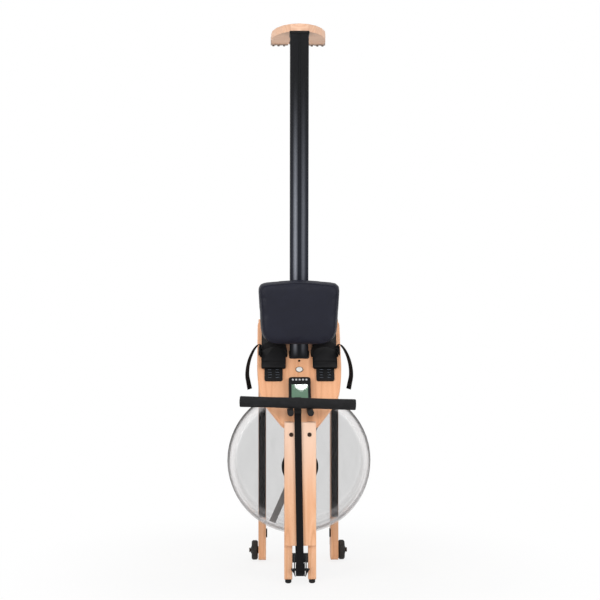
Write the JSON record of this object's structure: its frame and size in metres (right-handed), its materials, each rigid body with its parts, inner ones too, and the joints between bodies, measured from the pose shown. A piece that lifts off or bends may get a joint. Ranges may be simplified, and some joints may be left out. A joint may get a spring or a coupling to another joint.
{
  "type": "water rowing machine",
  "caption": "Water rowing machine in wood on a single black rail, with a round clear tank, paddle, sliding seat and pull handle, stood up on its front end for storage.",
  "frame": {"origin": "middle of the underside as the machine stands in storage, level with its two rubber feet, wheels and runner ends", "axes": "+Z up along the machine from its front end to the rear foot, -Y up while rowing, +X across to the right as the deck is looked at"},
  "size_m": [0.562, 0.5146, 2.1416],
  "materials": {
    "wood": "satin lacquered light hardwood",
    "rubber": "matte black rubber",
    "foam": "black foam strip",
    "rail": "black anodised extrusion",
    "clear_plastic": "clear moulded polycarbonate",
    "grey_plastic": "moulded grey plastic",
    "black_plastic": "fine textured black plastic",
    "black_steel": "black powder coat",
    "webbing": "black woven webbing",
    "vinyl": "satin black moulded cover",
    "bronze": "brown plated bolt",
    "grip": "matte black foam grip",
    "display": "green display behind a clear window",
    "button": "pale moulded keys"
  },
  "bodies": {
    "frame": {"foot_panel": "wood", "left_runner": "wood", "right_runner": "wood", "front_cross_board": "wood", "rear_cross_board": "wood", "left_deck_board": "wood", "right_deck_board": "wood", "deck_cover": "wood", "rear_foot": "wood", "left_front_pad": "rubber", "right_front_pad": "rubber", "left_rear_pad": "rubber", "right_rear_pad": "rubber", "left_tank_strip": "foam", "right_tank_strip": "foam", "left_storage_foot": "rubber", "right_storage_foot": "rubber", "left_rear_foot_pad": "rubber", "right_rear_foot_pad": "rubber", "left_handle_peg": "black_plastic", "right_handle_peg": "black_plastic", "monorail": "rail", "tank_lower": "clear_plastic", "tank_upper": "clear_plastic", "tank_seal": "grey_plastic", "tank_plug": "black_plastic", "drive_frame": "black_steel", "pulley_bracket": "black_steel", "return_strap": "webbing", "recoil_cord": "webbing", "left_foot_plate": "black_plastic", "right_foot_plate": "black_plastic", "left_foot_strap": "webbing", "right_foot_strap": "webbing", "left_strap_tail": "webbing", "right_strap_tail": "webbing", "monitor_case": "black_plastic", "monitor_window": "display", "left_wheel_bolt": "bronze", "right_wheel_bolt": "bronze"},
    "seat": {"seat_pad": "vinyl", "seat_carriage": "black_steel"},
    "front_roller_set": {"front_rollers": "grey_plastic"},
    "rear_roller_set": {"rear_rollers": "grey_plastic"},
    "handle_and_strap": {"handle": "grip", "drive_strap": "webbing"},
    "front_pulley_wheel": {"front_pulley": "black_plastic"},
    "drum": {"drive_drum": "black_plastic"},
    "recoil_pulley_wheel": {"recoil_pulley": "black_plastic"},
    "paddle_and_shaft": {"paddle": "grey_plastic"},
    "left_transport_wheel": {"left_wheel": "rubber"},
    "right_transport_wheel": {"right_wheel": "rubber"},
    "left_heel": {"left_heel_rest": "black_plastic"},
    "right_heel": {"right_heel_rest": "black_plastic"},
    "key_1": {"button_1": "button"},
    "key_2": {"button_2": "button"},
    "key_3": {"button_3": "button"},
    "key_4": {"button_4": "button"},
    "key_5": {"button_5": "button"}
  },
  "joints": [
    {"name": "seat_slide", "type": "slide", "parent": "frame", "child": "seat", "axis": [0, -0.0698, 0.9976], "range_m": [0, 0.93]},
    {"name": "front_roller_spin", "type": "hinge", "parent": "seat", "child": "front_roller_set", "pos_m": [0, -0.00426, 0.9413], "axis": [1, 0, 0], "range_deg": [-3150, 0]},
    {"name": "rear_roller_spin", "type": "hinge", "parent": "seat", "child": "rear_roller_set", "pos_m": [0, -0.01403, 1.08096], "axis": [1, 0, 0], "range_deg": [-3150, 0]},
    {"name": "handle_pull", "type": "slide", "parent": "frame", "child": "handle_and_strap", "axis": [0, 0, 1], "range_m": [0, 1.15], "stiffness_N_per_m": 20, "springref_m": -0.4, "deforming": ["drive_strap"]},
    {"name": "front_pulley_spin", "type": "hinge", "parent": "frame", "child": "front_pulley_wheel", "pos_m": [0, -0.18328, 0.054], "axis": [1, 0, 0], "range_deg": [-2850, 0]},
    {"name": "drum_spin", "type": "hinge", "parent": "frame", "child": "drum", "pos_m": [0, -0.08858, 0.43], "axis": [0, 1, 0], "range_deg": [-1540, 0]},
    {"name": "recoil_pulley_spin", "type": "hinge", "parent": "frame", "child": "recoil_pulley_wheel", "pos_m": [0, -0.14918, 0.543], "axis": [1, 0, 0], "range_deg": [-1270, 0]},
    {"name": "paddle_spin", "type": "hinge", "parent": "frame", "child": "paddle_and_shaft", "pos_m": [0, 0.13642, 0.43], "axis": [0, 1, 0], "continuous": true},
    {"name": "left_wheel_spin", "type": "hinge", "parent": "frame", "child": "left_transport_wheel", "pos_m": [-0.1768, 0.21072, 0.039], "axis": [1, 0, 0], "continuous": true},
    {"name": "right_wheel_spin", "type": "hinge", "parent": "frame", "child": "right_transport_wheel", "pos_m": [0.1768, 0.21072, 0.039], "axis": [1, 0, 0], "continuous": true},
    {"name": "left_heel_slide", "type": "slide", "parent": "frame", "child": "left_heel", "axis": [0, 0.6252, 0.7804], "range_m": [-0.04, 0.01]},
    {"name": "right_heel_slide", "type": "slide", "parent": "frame", "child": "right_heel", "axis": [0, 0.6252, 0.7804], "range_m": [-0.04, 0.01]},
    {"name": "button_1_press", "type": "slide", "parent": "frame", "child": "key_1", "axis": [0, 0.7804, -0.6252], "range_m": [0, 0.002], "stiffness_N_per_m": 200, "springref_m": -0.002},
    {"name": "button_2_press", "type": "slide", "parent": "frame", "child": "key_2", "axis": [0, 0.7804, -0.6252], "range_m": [0, 0.002], "stiffness_N_per_m": 200, "springref_m": -0.002},
    {"name": "button_3_press", "type": "slide", "parent": "frame", "child": "key_3", "axis": [0, 0.7804, -0.6252], "range_m": [0, 0.002], "stiffness_N_per_m": 200, "springref_m": -0.002},
    {"name": "button_4_press", "type": "slide", "parent": "frame", "child": "key_4", "axis": [0, 0.7804, -0.6252], "range_m": [0, 0.002], "stiffness_N_per_m": 200, "springref_m": -0.002},
    {"name": "button_5_press", "type": "slide", "parent": "frame", "child": "key_5", "axis": [0, 0.7804, -0.6252], "range_m": [0, 0.002], "stiffness_N_per_m": 200, "springref_m": -0.002}
  ],
  "couplings": [
    {"joint": "front_roller_spin", "follows": "seat_slide", "rad_per_m": -58.82},
    {"joint": "rear_roller_spin", "follows": "seat_slide", "rad_per_m": -58.82},
    {"joint": "front_pulley_spin", "follows": "handle_pull", "rad_per_m": -42.83},
    {"joint": "drum_spin", "follows": "handle_pull", "rad_per_m": -23.07},
    {"joint": "recoil_pulley_spin", "follows": "handle_pull", "rad_per_m": -19}
  ]
}
